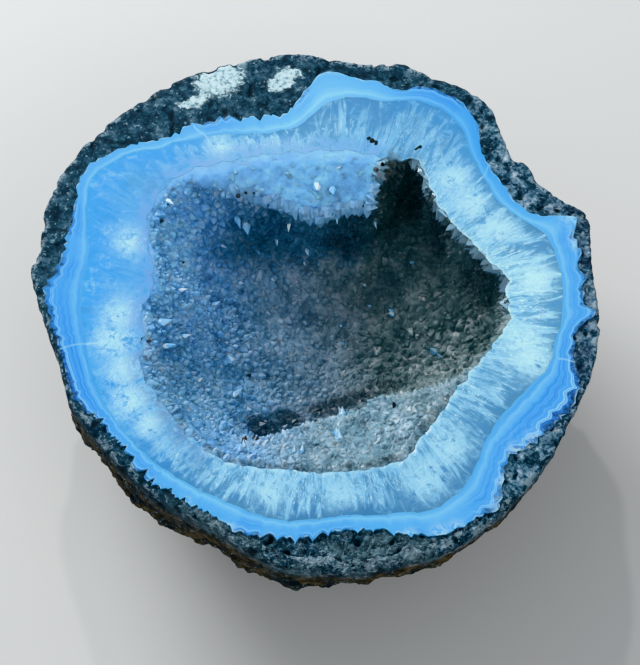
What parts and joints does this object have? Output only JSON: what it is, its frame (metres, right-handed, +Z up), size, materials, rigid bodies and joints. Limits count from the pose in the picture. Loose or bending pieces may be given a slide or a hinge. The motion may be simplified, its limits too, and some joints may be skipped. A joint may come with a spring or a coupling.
{
  "type": "geode half",
  "caption": "Half of a geode with a polished face: dark rock rind, blue banded agate, pale quartz and a hollow lined with small crystals, resting on its rounded back.",
  "frame": {"origin": "on the flat that the rounded back rests on, under the middle of the outline", "axes": "+Z up, square to the polished face; +X to the right in the pictured view, which looks along +Y"},
  "size_m": [0.1202, 0.1216, 0.05],
  "materials": {
    "rock": "rough",
    "agate": "polished",
    "quartz": "polished",
    "crystals": "glossy"
  },
  "bodies": {
    "root": {"rind": "rock", "agate_layer": "agate", "quartz_layer": "quartz", "crystal_crust": "crystals"}
  },
  "joints": []
}
